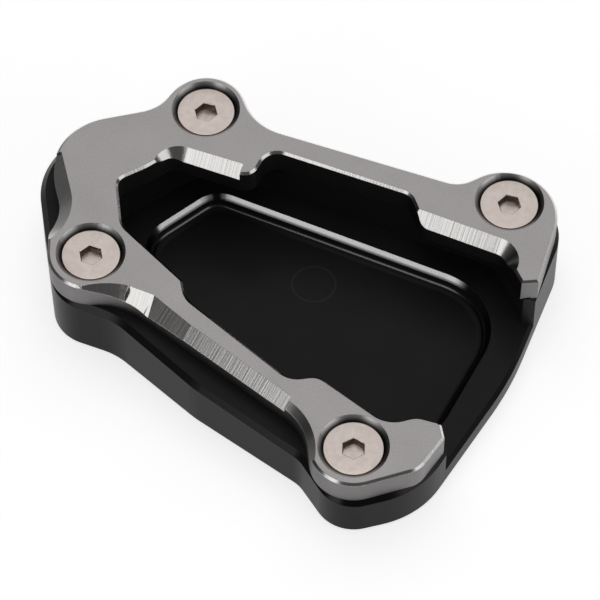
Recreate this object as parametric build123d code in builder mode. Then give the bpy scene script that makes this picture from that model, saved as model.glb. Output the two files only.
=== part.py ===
from build123d import *
from math import acos, atan2, cos, degrees, hypot, radians, sin
import os

# A kickstand foot enlarger: a wedge-shaped sole and a C-shaped clamp plate hold a kickstand's foot
# between them. The sole rests on the ground at z = 0, and its deck leans a little. The plate is
# drawn on the deck and stands square to it. The sole, the pocket and the recess are drawn level
# and have upright walls. In all of them x runs along the far side and y towards the back.

# Deck: its height over the ground in the middle, and its slope in degrees
deck_height = 13.5
rise_to_back = 4.1
rise_to_left = 1.9

# Sole: the ledge that the foot lies on, the recess in it, and the broken edges
ledge_height = 4.7
recess_depth = 3.0
recess_edge = 1.0
recess_fillet = 1.9
lip_edge = 0.8
deck_edge = 1.1
ground_edge = 0.5

# Clamp plate: its thickness, the fine bevel all round, and the wide facets at 45 degrees
plate_thickness = 6.0
plate_edge = 0.5
facet_width = 2.4
waist_facet = 2.6
hollow_facet = 1.4
facet_run_in = 6.0

# Screws: M6, countersunk, with a hexagon socket, the head a little under the face of the plate
screw_diameter = 6.0
screw_length = 12.0
head_diameter = 11.5
head_drop = 1.0
head_land = 0.1
socket_width = 4.0
socket_depth = 2.4
tip_edge = 0.8
seat_gap = 0.03
thread_gap = 0.05
clearance_gap = 0.3
bore_run_out = 1.0

# Where the screws stand on the deck, and how far each socket is turned
screw_places = {
    "back_left": (-25.6, 28.9),
    "back_right": (38.9, 32.2),
    "front_left": (-32.3, -11.4),
    "front_right": (32.0, -31.2),
}
socket_turns = {"back_left": 37.0, "back_right": 37.0, "front_left": 33.6, "front_right": 21.0}

# Rounded corners round the screws of the plate, and how far the sole stands out from them
front_lobe = 8.5
back_lobe = 8.1
corner_lobe = 10.4
corner_shift = (0.3, -3.2)
sole_rim = 0.7
front_left_shift = (0.8, 0.1)
front_left_rim_radius = 9.1
front_right_shift = (0.7, -1.1)
front_right_rim_radius = 7.8

# Radii of the plate's hollows beside those corners
waist_radius = 9.0
front_left_radius = 16.3
front_right_radius = 12.3
corner_radius = 6.0
back_radius = 11.3
left_radius = 9.0

# Levels that follow from these sizes, and lengths that only clear them
head_radius = head_diameter / 2
shank_radius = screw_diameter / 2
deck = Plane((0, 0, deck_height)).rotated((rise_to_back, rise_to_left, 0))
deck_up = Axis(deck.origin, deck.z_dir)
plate_top = deck.offset(plate_thickness)
ledge_level = Plane(deck.origin - deck.z_dir * ((deck_height - ledge_height) / deck.z_dir.Z))
well_above = 3 * deck_height
spare = 3.0


def polar(centre, reach, angle):
    """The point at this reach and angle from a centre."""
    return centre[0] + reach * cos(radians(angle)), centre[1] + reach * sin(radians(angle))


def shifted(place, shift):
    """A place moved by a shift."""
    return place[0] + shift[0], place[1] + shift[1]


def disc(centre, radius):
    """A disc that an outline goes round, or leans in on if its radius is negative."""
    return centre[0], centre[1], radius


def hollow_beside(lobe, radius, angle, slack=0.1):
    """A hollow that almost touches a lobe, seen from the lobe at this angle."""
    return disc(polar(lobe, lobe[2] + radius + slack, angle), -radius)


def touch_angle(one, two):
    """The angle at which the straight run from one disc to the next touches both."""
    run_x, run_y = two[0] - one[0], two[1] - one[1]
    return degrees(atan2(run_y, run_x) - acos((one[2] - two[2]) / hypot(run_x, run_y)))


def run(one, two):
    """The two ends of the straight run from one disc to the next."""
    angle = touch_angle(one, two)
    return polar(one, one[2], angle), polar(two, two[2], angle)


def belt(discs):
    """Draws an outline anticlockwise, as a belt round discs, straight from each to the next.

    It wraps a disc with a positive radius from outside and leans in on one with a negative
    radius. A disc with no radius is a sharp corner.
    """
    leaving = [touch_angle(one, two) for one, two in zip(discs, discs[1:] + discs[:1])]
    for number, (x, y, radius) in enumerate(discs):
        Line(*run((x, y, radius), discs[(number + 1) % len(discs)]))
        turn = (leaving[number] - leaving[number - 1]) % 360
        if radius > 0:
            CenterArc((x, y), radius, leaving[number - 1], turn)
        elif radius < 0:
            CenterArc((x, y), -radius, leaving[number - 1] + 180, turn - 360)


def across(plane, start, end):
    """The plane that stands across the way from start to end: x to its left, y up."""
    heading = degrees(atan2(end[1] - start[1], end[0] - start[0]))
    return Plane(plane.location * Pos(*start) * Rot(0, 0, heading) * Plane.YZ.location)


def cut_facet(start, end, width, run_in=0.0):
    """Cuts a facet at 45 degrees along a straight wall whose metal lies left of start to end.

    The cutter comes in from this far ahead of the start.
    """
    with BuildSketch(across(plate_top, start, end).offset(-run_in)) as wedge:
        with BuildLine():
            Polyline((width + spare, spare), (-spare, -width - spare), (-spare, spare), close=True)
        make_face()
    length = hypot(end[0] - start[0], end[1] - start[1])
    extrude(wedge.sketch, amount=run_in + length, mode=Mode.SUBTRACT)


def cut_hollow_facet(hollow, width, start=0, sweep=360):
    """Cuts a facet at 45 degrees round a hollow, or round this part of it."""
    radius = abs(hollow[2])
    with Locations(plate_top.location * Pos(hollow[0], hollow[1], spare) * Rot(0, 0, start)):
        Cone(radius, radius + width + spare, width + spare, arc_size=sweep,
             align=(Align.NONE, Align.NONE, Align.MAX), mode=Mode.SUBTRACT)


def ledge_of(sole):
    """The level face of the ledge in the pocket of a sole."""
    reach = recess_depth / 2
    level_faces = sole.faces().filter_by(Plane.XY)
    return level_faces.filter_by_position(Axis.Z, ledge_height - reach, ledge_height + reach)[-1]


# Clamp plate, outside: from the left shoulder round the front, the right side and the back
corner = shifted(screw_places["back_right"], corner_shift)
front_left_lobe = disc(screw_places["front_left"], front_lobe)
front_right_lobe = disc(screw_places["front_right"], front_lobe)
back_right_lobe = disc(corner, corner_lobe)
back_left_lobe = disc(screw_places["back_left"], back_lobe)
left_shoulder = (-36.4, 8.9, 12.4)
waist_hollow = (-51.4, -6.8, -waist_radius)
front_left_hollow = hollow_beside(front_left_lobe, front_left_radius, -66.5)
front_right_hollow = hollow_beside(front_right_lobe, front_right_radius, 205.2)
brow_start = (-21.9, -17.95)
brow_end = (-16.6, -17.95)
brow_hollow = (-19.6, -32.5, 14.8)
brow_sweep = 80.0
long_facet_start = (-16.6, -18.2)
long_facet_bend = (-8.0, -21.25)
long_facet_run_in = 0.9
plate_outline = [
    left_shoulder,
    waist_hollow,
    (-40.0, -9.0, 2.4),
    front_left_lobe,
    front_left_hollow,
    front_right_hollow,
    front_right_lobe,
    (40.9, -28.2, 5.0),
    (48.2, -17.8, 0.0),
    (51.3, 14.2, 0.0),
    back_right_lobe,
    hollow_beside(back_right_lobe, corner_radius, 147.7),
    hollow_beside(back_left_lobe, back_radius, 38.0),
    back_left_lobe,
    hollow_beside(back_left_lobe, left_radius, 173.8),
]

# Clamp plate, inside: the opening from its left end round the near side, out past the two tips,
# and back along the far side
far_left_bay = (-25.9, 13.8, 2.8)
far_left_cutter = (-24.8, 13.7, 2.8)
far_left_nose = (-13.2, 20.1, -2.9)
far_right_nose = (26.0, 24.1, -3.0)
far_right_bay = (40.6, 18.1, 3.0)
opening_outline = [
    (-31.9, 6.1, 2.4),
    (-26.0, 0.6, 4.8),
    (-14.0, -11.2, -1.3),
    (-7.5, -9.4, 5.1),
    (14.4, -17.3, 4.7),
    (20.3, -24.0, -4.1),
    (34.6, -17.6, 5.9),
    (42.2, -24.7, -4.4),
    (44.6, -21.4, -1.4),
    (51.1, -28.8, 0.0),
    (58.0, -28.8, 0.0),
    (58.0, 20.8, 0.0),
    (48.0, 15.4, 0.0),
    far_right_bay,
    far_right_nose,
    (18.8, 22.8, 3.2),
    (-6.6, 21.5, 3.6),
    far_left_nose,
    far_left_bay,
    (-36.1, 15.1, -6.5),
]

# Sole, outside, in the same order as the plate
front_left_rim = disc(shifted(screw_places["front_left"], front_left_shift), front_left_rim_radius)
front_right_rim = disc(shifted(screw_places["front_right"], front_right_shift), front_right_rim_radius)
back_right_rim = disc(corner, corner_lobe + sole_rim)
back_left_rim = disc(screw_places["back_left"], back_lobe + sole_rim)
sole_outline = [
    (-35.9, 7.5, 15.3),
    front_left_rim,
    (-26.1, -35.1, -14.8),
    (4.1, -5.5, 23.5),
    (19.1, -40.9, -7.1),
    front_right_rim,
    (28.8, -21.5, 18.7),
    (-24.1, 7.1, 75.3),
    back_right_rim,
    hollow_beside(back_right_rim, corner_radius - sole_rim, 147.7),
    hollow_beside(back_left_rim, back_radius - sole_rim, 38.0),
    back_left_rim,
    hollow_beside(back_left_rim, left_radius - sole_rim, 173.8),
]

# Pocket in the sole, down to the ledge: the left end, the near wall, out at the right, the far wall
pocket_outline = [
    (-28.0, 5.8, 7.4),
    (-29.0, 0.2, 6.0),
    (-16.0, -14.7, -2.0),
    (-7.2, -9.4, 7.6),
    (21.1, -19.6, 6.5),
    disc(screw_places["front_right"], -6.6),
    (35.6, -18.4, 5.9),
    (44.6, -21.4, -2.0),
    (51.9, -28.8, 0.0),
    (60.0, -28.8, 0.0),
    (60.0, 20.0, 0.0),
    (48.9, 15.0, 0.0),
    (37.3, 23.2, 3.0),
    (-18.6, 16.2, 10.0),
]

# Recess in the ledge, in the same order
recess_outline = [
    (-19.3, 6.0, 8.0),
    (-14.9, -9.0, -3.0),
    (-4.4, -6.3, 5.5),
    (17.6, -15.3, 5.0),
    (34.9, -10.8, 7.9),
    (30.3, 6.2, 13.6),
    (-17.3, 15.8, 5.3),
]

with BuildPart() as recess:
    with BuildSketch(ledge_level):
        with BuildLine():
            belt(recess_outline)
        make_face()
    extrude(amount=-recess_depth)
    fillet(recess.faces().sort_by(Axis.Z)[0].edges(), recess_fillet)

with BuildPart() as base_plate:
    with BuildSketch():
        with BuildLine():
            belt(sole_outline)
        make_face()
    extrude(amount=well_above)
    split(bisect_by=deck, keep=Keep.BOTTOM)
    chamfer(base_plate.faces().sort_by(Axis.Z)[-1].edges(), deck_edge)
    chamfer(base_plate.faces().sort_by(Axis.Z)[0].edges(), ground_edge)
    with BuildSketch(ledge_level):
        with BuildLine():
            belt(pocket_outline)
        make_face()
    extrude(amount=well_above, mode=Mode.SUBTRACT)
    add(recess.part, mode=Mode.SUBTRACT)
    chamfer(ledge_of(base_plate).inner_wires()[0].edges(), recess_edge)
    chamfer(ledge_of(base_plate).outer_wire().edges().sort_by(Axis.X)[-1], lip_edge)
    with Locations(deck):
        with Locations(*screw_places.values()):
            Hole(shank_radius + thread_gap, screw_length - plate_thickness + head_drop + bore_run_out)

with BuildPart() as clamp_plate:
    with BuildSketch(deck):
        with BuildLine():
            belt(plate_outline)
        make_face()
        with BuildLine():
            belt(opening_outline)
        make_face(mode=Mode.SUBTRACT)
    extrude(amount=plate_thickness)
    chamfer(clamp_plate.faces().sort_by(deck_up)[-1].edges(), plate_edge)
    cut_facet(*run(left_shoulder, waist_hollow), waist_facet, facet_run_in)
    cut_hollow_facet(waist_hollow, waist_facet)
    brow_from = degrees(atan2(brow_start[1] - brow_hollow[1], brow_start[0] - brow_hollow[0]))
    cut_hollow_facet(brow_hollow, facet_width, brow_from, brow_sweep)
    cut_facet(brow_start, brow_end, facet_width)
    cut_facet(long_facet_start, long_facet_bend, facet_width, long_facet_run_in)
    cut_facet(long_facet_bend, run(front_left_hollow, front_right_hollow)[1], facet_width)
    cut_hollow_facet(front_right_hollow, hollow_facet)
    cut_facet(*reversed(run(far_left_nose, far_left_cutter)), facet_width)
    cut_hollow_facet(far_left_cutter, facet_width)
    cut_facet(*reversed(run(far_right_bay, far_right_nose)), facet_width, facet_run_in)
    cut_hollow_facet(far_right_bay, facet_width)
    with Locations(plate_top):
        with Locations(*screw_places.values()):
            CounterSinkHole(shank_radius + clearance_gap, head_radius + head_drop + head_land + seat_gap,
                            counter_sink_angle=90)

os.makedirs("parts", exist_ok=True)
base_plate.part.label = "base_plate"
export_step(base_plate.part, "parts/base_plate.step")
clamp_plate.part.label = "clamp_plate"
export_step(clamp_plate.part, "parts/clamp_plate.step")

for name, place in screw_places.items():
    head_face = Plane(plate_top.location * Pos(*place, -head_drop) * Rot(0, 0, socket_turns[name]))
    with BuildPart() as screw:
        with BuildSketch(Plane(head_face.location * Plane.XZ.location)):
            with BuildLine():
                Polyline(
                    (0, 0),
                    (head_radius, 0),
                    (head_radius, -head_land),
                    (shank_radius, -head_land - head_radius + shank_radius),
                    (shank_radius, -screw_length + tip_edge),
                    (shank_radius - tip_edge, -screw_length),
                    (0, -screw_length),
                    close=True,
                )
            make_face()
        revolve(axis=Axis(head_face.origin, head_face.z_dir))
        with BuildSketch(head_face):
            RegularPolygon(socket_width / 2, 6, major_radius=False)
        extrude(amount=-socket_depth, mode=Mode.SUBTRACT)
    screw.part.label = "screw_" + name
    export_step(screw.part, "parts/screw_" + name + ".step")
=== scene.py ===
# %% [markdown]
# # A kickstand foot enlarger
# The real object is a wide metal sole that is screwed round the small foot of a motorbike's
# side stand, so that the stand doesn't sink into soft ground. A black base lies on the ground,
# a grey plate with bright bevels lies on its sloping deck, and four countersunk screws hold
# the two together. The solids come from the part's own CAD model, and stay where they are:
# this lesson gives them their finishes, their screws with all the small details, and light.

from math import cos, pi, radians, sin, sqrt

import bmesh
import bpy
from mathutils import Matrix, Vector


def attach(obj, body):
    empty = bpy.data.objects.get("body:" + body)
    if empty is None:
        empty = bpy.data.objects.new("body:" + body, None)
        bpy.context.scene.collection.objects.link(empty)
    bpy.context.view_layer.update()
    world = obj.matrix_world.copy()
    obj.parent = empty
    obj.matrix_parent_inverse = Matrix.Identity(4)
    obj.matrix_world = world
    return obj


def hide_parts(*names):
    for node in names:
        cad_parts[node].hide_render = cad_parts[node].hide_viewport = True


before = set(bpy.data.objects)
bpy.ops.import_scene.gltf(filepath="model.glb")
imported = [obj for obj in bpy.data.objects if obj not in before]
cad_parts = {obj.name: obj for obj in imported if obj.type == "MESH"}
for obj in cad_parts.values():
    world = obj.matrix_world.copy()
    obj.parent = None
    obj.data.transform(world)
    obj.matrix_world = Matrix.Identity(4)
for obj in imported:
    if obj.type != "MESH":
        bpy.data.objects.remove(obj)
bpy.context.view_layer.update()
base_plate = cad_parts["base_plate"]
clamp_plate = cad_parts["clamp_plate"]

# %% [markdown]
# ## The sloping deck
# The plate and the screws stand square to the deck, which rises gently to the back and to the
# left. Everything on the real object is easiest to place as a machinist would, in millimetres
# along and across that deck, so one small function turns such a place into the frame's metres.
# Each screw has its place there, and after it the turn of its hexagon socket in degrees.

# %% Places on the deck
deck_origin = Vector((0.0, 0.0, 0.0135))
rise_to_back = Matrix.Rotation(radians(4.1), 3, "X")
rise_to_left = Matrix.Rotation(radians(1.9), 3, "Y")
deck_turn = rise_to_back @ rise_to_left
deck_up = deck_turn @ Vector((0, 0, 1))
screw_places = {
    "screw_back_left": (-25.6, 28.9, 37.0),
    "screw_back_right": (38.9, 32.2, 37.0),
    "screw_front_left": (-32.3, -11.4, 33.6),
    "screw_front_right": (32.0, -31.2, 21.0),
}


def on_deck(x, y, z=0.0):
    return deck_origin + deck_turn @ Vector((x, y, z)) / 1000


print("the deck's middle:", on_deck(0, 0), "and its way up:", deck_up)

# %% [markdown]
# ## The camera
# The photograph looks down steeply at the part from the front, a little to its right, from far
# away through a long lens, which keeps the plate's sides nearly parallel. The camera gets the
# same place and the same turn: three directions, written as the columns of its matrix, leave
# nothing to a tracking constraint that could tip the picture.


# %% The camera
def put_in_scene(name, data):
    thing = bpy.data.objects.new(name, data)
    bpy.context.scene.collection.objects.link(thing)
    return thing


camera_place = on_deck(141.0, -310.0, 537.4)
camera_aim = on_deck(9.6, -4.8, 5.0)
camera_back = (camera_place - camera_aim).normalized()
camera_right = (deck_turn @ Vector((0.9184, 0.3955, 0.0))).normalized()
camera_up = camera_back.cross(camera_right).normalized()
camera_right = camera_up.cross(camera_back)

camera_data = bpy.data.cameras.new("camera")
camera_data.lens = 193.3
camera_data.sensor_width = 36.0
camera = put_in_scene("camera", camera_data)
camera_turn = Matrix((camera_right, camera_up, camera_back)).transposed().to_4x4()
camera.matrix_world = Matrix.Translation(camera_place) @ camera_turn
bpy.context.scene.camera = camera
print("the camera stands", round((camera_place - camera_aim).length, 3), "m away")

# %% [markdown]
# ## Small helpers for materials
# A finish is a small network of nodes. Three helpers keep each one short: one starts a
# material, one plugs a number, a colour or another node into a socket, and one adds a node
# with its settings and inputs.


# %% Helpers that build a network
def start_finish(name):
    material = bpy.data.materials.new(name)
    material.use_nodes = True
    return material, material.node_tree, material.node_tree.nodes["Principled BSDF"]


def plug(tree, value, socket):
    if isinstance(value, bpy.types.Node):
        value = value.outputs[0]
    if isinstance(value, bpy.types.NodeSocket):
        tree.links.new(value, socket)
    else:
        socket.default_value = value


def add(tree, kind, settings=None, **inputs):
    """A new node. Its inputs go by their names in Blender, or by number, as _0 and _1."""
    node = tree.nodes.new("ShaderNode" + kind)
    for name, value in (settings or {}).items():
        setattr(node, name, value)
    for name, value in inputs.items():
        which = int(name[1:]) if name.startswith("_") else name.replace("_", " ")
        plug(tree, value, node.inputs[which])
    return node


# %% [markdown]
# ## Steps that come again and again
# These are arithmetic on numbers and on vectors, a soft step from one number to another where a
# value passes two limits, and mixes of two numbers or two colours by a mask. A mask is 1 where
# a finish is wanted and 0 elsewhere.


# %% Helpers for numbers and colours
def maths(tree, operation, first, second=0.0):
    return add(tree, "Math", {"operation": operation}, _0=first, _1=second)


def vector_maths(tree, operation, first, second=(0, 0, 0)):
    node = add(tree, "VectorMath", {"operation": operation}, _0=first, _1=second)
    return node.outputs["Value" if operation in ("DOT_PRODUCT", "LENGTH") else "Vector"]


def between(tree, value, low, high, start=0.0, end=1.0):
    """Start where the value is before low, end where it is past high, and a soft step between."""
    return add(tree, "MapRange", {"interpolation_type": "SMOOTHSTEP"}, Value=value, From_Min=low,
               From_Max=high, To_Min=start, To_Max=end)


def inside(tree, value, outer_low, low, high, outer_high):
    """1 from low to high, and softly down to 0 at the two outer limits."""
    rise = between(tree, value, outer_low, low)
    fall = between(tree, value, outer_high, high)
    return maths(tree, "MULTIPLY", rise, fall)


def mix_numbers(tree, mask, first, second):
    return between(tree, mask, 0.0, 1.0, first, second)


def mix_colours(tree, mask, first, second):
    node = tree.nodes.new("ShaderNodeMix")
    node.data_type = "RGBA"
    first_colour, second_colour, mixed_colour = node.inputs[6], node.inputs[7], node.outputs[2]
    plug(tree, mask, node.inputs["Factor"])
    plug(tree, first, first_colour)
    plug(tree, second, second_colour)
    return mixed_colour


def scaled(tree, colour, factor):
    grey = add(tree, "CombineXYZ", X=factor, Y=factor, Z=factor)
    return vector_maths(tree, "MULTIPLY", colour, grey)


# %% [markdown]
# ## Helpers that find a face
# A milled part changes its finish from face to face. Each face could get a material slot of its
# own, but a CAD mesh is loose triangles, and it stays as it is. So one material finds the faces
# itself, by the way that they are turned and by how far they are from an axis, both measured on
# the deck. Noise takes its places from the deck too. Its scale counts along a metre: at 1000,
# one grain is about a millimetre.


# %% Helpers for faces and grain
def deck_place(tree):
    """The place on the surface in metres along the deck."""
    place = add(tree, "TexCoord").outputs["Object"]
    return add(tree, "Mapping", {"vector_type": "TEXTURE"}, Vector=place, Location=deck_origin,
               Rotation=deck_turn.to_euler("XYZ"))


def facing(tree, way):
    """How far the surface faces a way on the deck: 1 is straight at it, 0 is square to it."""
    normal = add(tree, "NewGeometry").outputs["Normal"]
    return vector_maths(tree, "DOT_PRODUCT", normal, deck_turn @ Vector(way))


def from_axis_at(tree, x, y):
    """The distance in metres from an axis that stands on the deck, at a place in millimetres."""
    away = vector_maths(tree, "SUBTRACT", deck_place(tree), (x / 1000, y / 1000, 0))
    return vector_maths(tree, "LENGTH", vector_maths(tree, "MULTIPLY", away, (1, 1, 0)))


def from_screws(tree):
    """The distance in metres from the nearest screw's axis."""
    nearest = 1.0
    for x, y, _ in screw_places.values():
        nearest = maths(tree, "MINIMUM", nearest, from_axis_at(tree, x, y))
    return nearest


def grains(tree, scale, detail):
    """Soft noise from 0 to 1 that is fixed to the deck."""
    noise = add(tree, "TexNoise", Vector=deck_place(tree), Scale=scale, Detail=detail)
    return noise.outputs["Fac"]


def cutter_lines(tree, scale):
    """Fine lines that run down a bevel, as a mill leaves them: noise along its length only."""
    normal = add(tree, "NewGeometry").outputs["Normal"]
    along = vector_maths(tree, "NORMALIZE", vector_maths(tree, "CROSS_PRODUCT", normal, deck_up))
    travel = vector_maths(tree, "DOT_PRODUCT", deck_place(tree), along)
    noise = add(tree, "TexNoise", {"noise_dimensions": "1D"}, W=travel, Scale=scale, Detail=3.0,
                Roughness=0.65)
    return noise.outputs["Fac"]


# %% [markdown]
# ## The grey plate: its faces
# The clamp plate is bead-blasted and anodised a satin grey, and afterwards its wide bevels were
# milled bright. The bevels are found by their slope: they lean at 45 degrees, so the cosine of
# their normal to the deck is near 0.7. The screws' countersinks lean just as much, and are told
# from the bevels by their distance from a screw's axis.

# %% Where the plate's bevels and countersinks are
plate_finish, tree, shader = start_finish("grey_anodised")
bevel_slopes = (0.5, 0.62, 0.8, 0.92)
outside_countersink, in_countersink = 0.0071, 0.0067
slope = facing(tree, (0, 0, 1))
bevel_mask = inside(tree, slope, *bevel_slopes)
screw_distance = from_screws(tree)
countersink_mask = between(tree, screw_distance, outside_countersink, in_countersink)
print("a bevel's slope is near", round(cos(pi / 4), 2), "and is found from", bevel_slopes)

# %% [markdown]
# ## The grey plate: its colours
# The blasting has left fine specks in the grey, and the mill fine lines down each bevel. Each
# colour drifts a little between a darker and a lighter tone. The walls get painted shade that
# makes them duller than the top, and the walls and bevels that face left get the darkest painted
# shade. The countersinks get painted shade that grows dark towards the screw's head, where no
# light reaches.

# %% The plate's colours
dark_grey, light_grey = (0.47, 0.446, 0.447, 1), (0.56, 0.533, 0.534, 1)
dark_silver, light_silver = (0.54, 0.53, 0.52, 1), (0.84, 0.82, 0.80, 1)
dark_speck, light_speck = 0.9, 1.1
left, left_wall_shade_facing, left_bevel_shade_facing = (-0.95, -0.3, 0), (0.3, 0.9), (0.45, 0.66)
wall_slope, top_slope = 0.1, 0.4
shaded_wall_level, shaded_left_wall_level, shaded_left_bevel_level = 0.38, 0.2, 0.16
under_head, past_head, countersink_shade_level = 0.0059, 0.0069, 0.04

lines = cutter_lines(tree, scale=2200.0)
specks = grains(tree, scale=4000.0, detail=2.0)
drift = grains(tree, scale=120.0, detail=3.0)
grey = mix_colours(tree, drift, dark_grey, light_grey)
silver = mix_colours(tree, lines, dark_silver, light_silver)

# Painted shade: walls are darker than the top, and walls and bevels that face left darker still.
to_left = facing(tree, left)
painted_left_wall_shade = between(tree, to_left, *left_wall_shade_facing, shaded_wall_level, shaded_left_wall_level)
painted_left_bevel_shade = between(tree, to_left, *left_bevel_shade_facing, 1.0, shaded_left_bevel_level)
painted_wall_shade = between(tree, slope, wall_slope, top_slope, painted_left_wall_shade, 1.0)
speckle = between(tree, specks, 0.3, 0.7, dark_speck, light_speck)
# Painted shade: the countersinks darken towards the screw's head.
depth = between(tree, screw_distance, under_head, past_head, countersink_shade_level, 1.0)
# The painted shade of the walls darkens the grey, and that of left-facing bevels the silver.
grey = scaled(tree, grey, maths(tree, "MULTIPLY", painted_wall_shade, speckle))
colour = mix_colours(tree, bevel_mask, grey, scaled(tree, silver, painted_left_bevel_shade))
plug(tree, scaled(tree, colour, depth), shader.inputs["Base Color"])
shader.inputs["Metallic"].default_value = 1.0
print("the plate's colours take", len(tree.nodes), "nodes")

# %% [markdown]
# ## The grey plate: its shine
# The milled bevels are much smoother than the blasted top, so they mirror the lamps sharply,
# and the countersinks lie between the two. The specks and the lines are also a very low relief,
# made with a Bump node. A Bevel node under it rounds every edge a little in the light, as a
# deburred edge is, with no change to the mesh.


# %% The plate's shine
def add_relief(tree, shader, height, strength, depth, edge_radius=0.0):
    bump = add(tree, "Bump", Strength=strength, Distance=depth, Height=height)
    if edge_radius:
        plug(tree, add(tree, "Bevel", {"samples": 4}, Radius=edge_radius), bump.inputs["Normal"])
    plug(tree, bump, shader.inputs["Normal"])


blasted_roughness, bevel_roughness, countersink_roughness = 0.4, 0.145, 0.33
milled = mix_numbers(tree, countersink_mask, bevel_roughness, countersink_roughness)
roughness = mix_numbers(tree, bevel_mask, blasted_roughness, milled)
plug(tree, roughness, shader.inputs["Roughness"])
relief = mix_colours(tree, bevel_mask, specks, lines)
add_relief(tree, shader, relief, strength=0.8, depth=0.00002, edge_radius=0.00012)
print("the plate's whole finish takes", len(tree.nodes), "nodes")

# %% [markdown]
# ## The black base: its painted highlights
# The base is anodised black and satin. Along the back and left edges of the chamfer round the
# pocket's deeper field, a thin bright line is painted in as a highlight, where those edges mirror
# the lamps. It is found by its slope, its height above the ground and the two ways that those
# edges face.

# %% Where the base's edges are
base_finish, tree, shader = start_finish("black_anodised")
edge_slopes = (0.55, 0.66, 0.76, 0.86)
above_pocket, pocket_top = 0.0055, 0.0050
from_back, back_highlight_facing = (0.01, -1.0, 0), (0.59, 0.64)
from_left, left_highlight_facing = (0.81, -0.58, 0), (0.60, 0.645)
edge_mask = inside(tree, facing(tree, (0, 0, 1)), *edge_slopes)
height = add(tree, "SeparateXYZ", Vector=add(tree, "TexCoord").outputs["Object"]).outputs["Z"]
in_pocket = between(tree, height, above_pocket, pocket_top)
# Painted highlight: only chamfer edges in the pocket that face the back or the left are bright.
painted_back_highlight = between(tree, facing(tree, from_back), *back_highlight_facing)
painted_left_highlight = between(tree, facing(tree, from_left), *left_highlight_facing)
painted_highlight_mask = maths(tree, "MULTIPLY", in_pocket, maths(tree, "MAXIMUM", painted_back_highlight, painted_left_highlight))
print("the bright edges lie below", 1000 * above_pocket, "mm")

# %% [markdown]
# ## The black base: its colours and shine
# The black drifts a little in tone, and a cutter or fixture has left one faint ring on the
# floor of the deeper field. The chamfer edges get a painted highlight, brightest near their top,
# with a dimmer painted line at their foot. Black anodising mirrors less than a gloss paint, so
# the IOR is low, and the black stays deep.

# %% The base's colours and shine
dark_black, light_black = (0.021, 0.0198, 0.0202, 1), (0.031, 0.029, 0.0297, 1)
edge_foot, edge_top = 0.0038, 0.0042
dull_edge_level, highlight_foot_level, highlight_top_level = 0.03, 0.14, 0.66
mark_x, mark_y = 6.4, 9.7
mark_radius, mark_width, mark_level = 0.0044, 0.0004, 1.7
black_roughness, edge_roughness, edge_metal = 0.34, 0.22, 0.9

grain = grains(tree, scale=5000.0, detail=2.0)
drift = grains(tree, scale=90.0, detail=3.0)
black = mix_colours(tree, drift, dark_black, light_black)
mark_distance = maths(tree, "SUBTRACT", from_axis_at(tree, mark_x, mark_y), mark_radius)
off_mark = maths(tree, "ABSOLUTE", mark_distance)
black = scaled(tree, black, between(tree, off_mark, 0.0, mark_width, mark_level, 1.0))
# Painted highlight: brightest at the chamfer's top, with a dimmer painted line at its foot.
painted_highlight_level = between(tree, height, edge_foot, edge_top, highlight_foot_level, highlight_top_level)
edge = scaled(tree, (1, 1, 1), mix_numbers(tree, painted_highlight_mask, dull_edge_level, painted_highlight_level))
plug(tree, mix_colours(tree, edge_mask, black, edge), shader.inputs["Base Color"])
plug(tree, maths(tree, "MULTIPLY", edge_mask, edge_metal), shader.inputs["Metallic"])
roughness = mix_numbers(tree, edge_mask, black_roughness, edge_roughness)
plug(tree, roughness, shader.inputs["Roughness"])
shader.inputs["IOR"].default_value = 1.2
add_relief(tree, shader, grain, strength=0.25, depth=0.00001, edge_radius=0.00015)
print("the base's finish takes", len(tree.nodes), "nodes")

# %% [markdown]
# ## The screws' steel
# The screws are plain stainless steel with a slightly warm tone, turned on a lathe, so their
# faces carry very fine rings. The rings follow each screw's own axis: every screw carries its
# own flat measure across its face as a UV map, in millimetres, and the rings are noise along
# the distance from the middle of it. The upright walls of the hexagon socket get a darker,
# browner colour as painted shade.

# %% The screws' finish
screw_finish, tree, shader = start_finish("screw_steel")
dark_steel, light_steel = (0.67, 0.58, 0.53, 1), (0.88, 0.775, 0.72, 1)
socket_shade_steel = (0.35, 0.26, 0.21, 1)
leaning, upright = 0.3, 0.1
from_axis = vector_maths(tree, "LENGTH", add(tree, "UVMap", {"uv_map": "across_head"}))
rings = add(tree, "TexNoise", {"noise_dimensions": "1D"}, W=from_axis, Scale=3.0, Detail=3.0)
steel = mix_colours(tree, grains(tree, scale=700.0, detail=3.0), dark_steel, light_steel)
# Painted shade: upright faces, such as the socket's walls, get a dark brown colour.
painted_socket_shade = between(tree, facing(tree, (0, 0, 1)), leaning, upright)
steel = mix_colours(tree, painted_socket_shade, steel, socket_shade_steel)
plug(tree, steel, shader.inputs["Base Color"])
shader.inputs["Metallic"].default_value = 1.0
shader.inputs["Roughness"].default_value = 0.27
add_relief(tree, shader, rings.outputs["Fac"], strength=0.25, depth=0.00001)
print("finishes:", [m.name for m in (plate_finish, base_finish, screw_finish)])

# %% [markdown]
# ## The finishes go on
# A finish could go on a copy of each solid, but then the shape that is seen might drift from the
# one that was measured. So a CAD node keeps its mesh, and only its material slots are filled.


# %% Finishes on the CAD nodes
def finish_node(node, material):
    node.data.materials.clear()
    node.data.materials.append(material)


finish_node(base_plate, base_finish)
finish_node(clamp_plate, plate_finish)
for name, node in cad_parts.items():
    print(name, "has", len(node.data.polygons), "faces,", len(node.data.materials), "finish")

# %% [markdown]
# ## A countersunk screw: its sizes
# The CAD model's screws are plain, and the real ones show more. The head is a flat disc with a
# rounded rim and a thin land, over a 90 degree cone. Its hexagon socket has a small chamfer, and
# a drill has first opened it, which is why its floor is a shallow cone. So each screw gets a
# finer twin here. All sizes are in millimetres, and heights count down from the head's flat
# face. The turned profile starts on the ring that the socket is joined to, and runs out over the
# rim and down to the tip.

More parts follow.
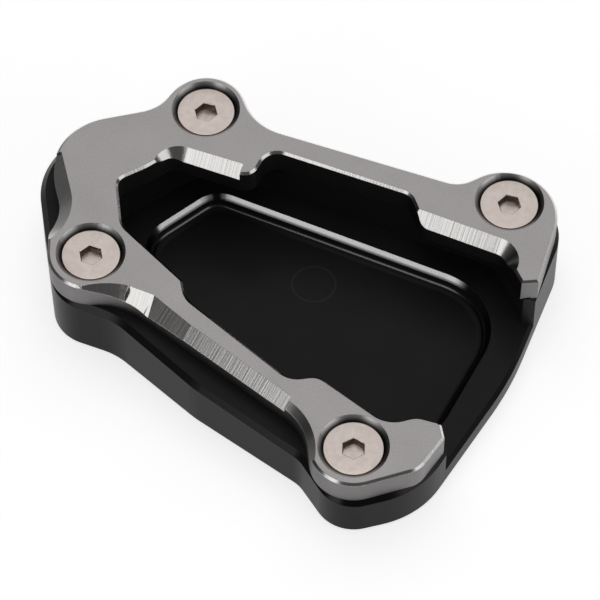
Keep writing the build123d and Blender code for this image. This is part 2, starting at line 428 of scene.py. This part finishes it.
# %% The screw's sizes
head_above_deck = 5.0
head_radius = 5.75
head_round = 0.16
head_land = 0.1
shank_radius = 3.0
screw_length = 12.0
tip_edge = 0.8
socket_width = 4.0
socket_corner = socket_width / sqrt(3)
socket_edge = 0.15
socket_depth = 2.0
drill_radius = 1.9
drill_depth = 0.5
ring_radius = 2.9
steps_round = 72
same_place = 1e-4
turned_profile = [
    (ring_radius, 0.0),
    (head_radius - head_round, 0.0),
    (head_radius - head_round / 4, -head_round / 4),
    (head_radius, -head_land - head_round / 4),
    (shank_radius, -head_land - head_radius + shank_radius),
    (shank_radius, tip_edge - screw_length),
    (shank_radius - tip_edge, -screw_length),
]
print("the turned profile has", len(turned_profile), "points")

# %% [markdown]
# ## A countersunk screw: turning and broaching
# It is made as a turner and a broach would. The profile is spun round the axis. The socket
# starts as a hexagon with as many points as the spin has steps, so that the two can be bridged
# point to point. Then its rim is pushed down in stages: a small chamfer, the upright walls, in
# to the round edge of the drilled hole, and down to the point that the drill has left.


# %% Steps of making a screw
def ring_of(bm, verts):
    """The edges that run between these points."""
    chosen = set(verts)
    return [e for e in bm.edges if e.verts[0] in chosen and e.verts[1] in chosen]


def hexagon_rim(bm, turn):
    bmesh.ops.create_circle(bm, segments=6, radius=socket_corner + socket_edge)
    bmesh.ops.subdivide_edges(bm, edges=bm.edges[:], cuts=steps_round // 6 - 1)
    bmesh.ops.rotate(bm, verts=bm.verts[:], matrix=Matrix.Rotation(radians(turn), 3, "Z"))
    return bm.verts[:]


def turned_body(bm):
    """Head and shank, open at both ends. Gives the inner ring of the head's flat face."""
    profile = [bm.verts.new((r, 0, z)) for r, z in turned_profile]
    line = [bm.edges.new(pair) for pair in zip(profile, profile[1:])]
    bmesh.ops.spin(bm, geom=profile + line, cent=(0, 0, 0), axis=(0, 0, 1), angle=2 * pi,
                   steps=steps_round, use_merge=True)
    on_top = [v for v in bm.verts if v.co.z > -same_place]
    return [v for v in on_top if abs(v.co.xy.length - ring_radius) < same_place]


def close_tip(bm):
    tip = [v for v in bm.verts if v.co.z < -screw_length + same_place]
    bmesh.ops.edgeloop_fill(bm, edges=ring_of(bm, tip))


def sink_socket(bm, rim):
    """Each stage is a depth, and how far in its points move."""
    stages = [
        (socket_edge, lambda place: place * socket_corner / (socket_corner + socket_edge)),
        (socket_depth, lambda place: place),
        (socket_depth, lambda place: place.normalized() * drill_radius),
        (socket_depth + drill_depth, lambda place: place * 0.0),
    ]
    ring = ring_of(bm, rim)
    for depth, inwards in stages:
        pushed = bmesh.ops.extrude_edge_only(bm, edges=ring)["geom"]
        verts = [g for g in pushed if isinstance(g, bmesh.types.BMVert)]
        for vert in verts:
            vert.co.z = -depth
            vert.co.xy = inwards(vert.co.xy)
        ring = ring_of(bm, verts)


# %% [markdown]
# ## A countersunk screw: the whole piece
# Doubled points are merged and the faces are turned outwards. The screw gets its flat measure
# across the head while its axis is still at the origin, and after that its points go to their
# place on the deck. Edges sharper than 30 degrees stay sharp, and the rest is smooth.


# %% Making the screws
def make_screw(name, x, y, turn):
    bm = bmesh.new()
    rim = hexagon_rim(bm, turn)
    inner_ring = turned_body(bm)
    bmesh.ops.bridge_loops(bm, edges=ring_of(bm, rim) + ring_of(bm, inner_ring))
    close_tip(bm)
    sink_socket(bm, rim)
    bmesh.ops.remove_doubles(bm, verts=bm.verts[:], dist=same_place)
    bmesh.ops.recalc_face_normals(bm, faces=bm.faces[:])

    across_head = bm.loops.layers.uv.new("across_head")
    for face in bm.faces:
        face.smooth = True
        for loop in face.loops:
            loop[across_head].uv = loop.vert.co.xy
    for vert in bm.verts:
        vert.co = on_deck(x + vert.co.x, y + vert.co.y, head_above_deck + vert.co.z)
    mesh = bpy.data.meshes.new(name + "_detailed")
    bm.to_mesh(mesh)
    bm.free()
    mesh.set_sharp_from_angle(angle=radians(30))
    mesh.materials.append(screw_finish)
    return put_in_scene(name + "_detailed", mesh)


for name, (x, y, turn) in screw_places.items():
    screw = make_screw(name, x, y, turn)
    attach(screw, "root")
    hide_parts(name)
    print(screw.name, "has", len(screw.data.polygons), "faces")

# %% [markdown]
# ## The floor
# The part stands on a plain white table, which is one large face, because a paper backdrop that
# curves up would show its shades from some sides. The white comes from the table's own colour
# and from a little glow that only the camera, reflections and clear things see, so that the
# light on the object can stay at a plain level and the soft shadow under the part remains.

# %% The floor
table_reach, table_white, table_glow = 3.0, 0.82, 0.72
bm = bmesh.new()
bmesh.ops.create_grid(bm, x_segments=1, y_segments=1, size=table_reach)
floor_mesh = bpy.data.meshes.new("floor")
bm.to_mesh(floor_mesh)
bm.free()
floor = put_in_scene("floor", floor_mesh)
floor_finish, tree, shader = start_finish("white_table")
shader.inputs["Base Color"].default_value = (table_white, table_white, table_white, 1)
shader.inputs["Roughness"].default_value = 0.9
shader.inputs["Specular IOR Level"].default_value = 0.0
path = add(tree, "LightPath")
seen = maths(tree, "MAXIMUM", path.outputs["Is Camera Ray"], path.outputs["Is Glossy Ray"])
seen = maths(tree, "MAXIMUM", seen, path.outputs["Is Transmission Ray"])
shader.inputs["Emission Color"].default_value = (1, 1, 1, 1)
plug(tree, maths(tree, "MULTIPLY", seen, table_glow), shader.inputs["Emission Strength"])
floor_mesh.materials.append(floor_finish)
print("the floor is", tuple(round(v, 1) for v in floor.dimensions), "m")

# %% [markdown]
# ## The lamps
# Metal shows what is round it, so the light is built for its reflections. A box stands where the
# camera's line of sight goes on, once a face that has to be bright has mirrored it. The plate's
# flat top mirrors a wide soft box high behind the part, and from above a smaller one overhead.
# The bevels that lean to the front mirror a box low in front of it, whose left end fades in two
# steps, and the pocket's left edge mirrors one on the right. Each box has two angles in degrees
# for its direction from the deck's middle, then its distance, width and height in metres, and
# its brightness, where 1 is white.


# %% The lamps
def soft_box(name, round_about, upwards, distance, width, height, brightness):
    lamp = bpy.data.lights.new(name, "AREA")
    lamp.shape = "RECTANGLE"
    lamp.size = width
    lamp.size_y = height
    lamp.energy = brightness * pi * width * height
    box = put_in_scene(name, lamp)
    level = cos(radians(upwards))
    way = deck_turn @ Vector((level * cos(radians(round_about)),
                              level * sin(radians(round_about)), sin(radians(upwards))))
    lamp_turn = way.to_track_quat("Z", "Y").to_matrix().to_4x4()
    box.matrix_world = Matrix.Translation(on_deck(0, 0) + way * distance) @ lamp_turn
    print(name, "gives", round(lamp.energy, 3), "W")


soft_box("back_box", 113, 58, 1.3, 1.5, 1.2, 0.66)
soft_box("overhead_box", -66, 85, 1.2, 0.6, 0.6, 0.8)
soft_box("front_box", -107.5, 29, 1.0, 0.35, 0.40, 1.1)
soft_box("front_box_side", -122.5, 29, 1.0, 0.11, 0.40, 0.9)
soft_box("front_box_end", -129.5, 29, 1.0, 0.11, 0.40, 0.1)
soft_box("right_box", -3, 25, 1.0, 0.77, 0.36, 0.9)

# %% [markdown]
# ## The world
# The world is dark above and lighter close to the table, like pale low walls round it, so
# bevels that mirror no box stay deep in tone, and the part's sides are still lit.

# %% The world
wall_foot, wall_top = 0.06, 0.22
wall_strength, sky_strength = 0.7, 0.08
world = bpy.data.worlds.new("studio")
world.use_nodes = True
bpy.context.scene.world = world
tree = world.node_tree
background = tree.nodes["Background"]
background.inputs["Color"].default_value = (1, 1, 1, 1)
upwards = add(tree, "SeparateXYZ", Vector=add(tree, "TexCoord").outputs["Generated"]).outputs["Z"]
strength = between(tree, upwards, wall_foot, wall_top, wall_strength, sky_strength)
plug(tree, strength, background.inputs["Strength"])
print("the world's strength falls from", wall_strength, "to", sky_strength)

# %% [markdown]
# ## Colours as they are
# The Standard view shows each colour as it is written, with no film look over it.

# %% The view
bpy.context.scene.view_settings.view_transform = "Standard"
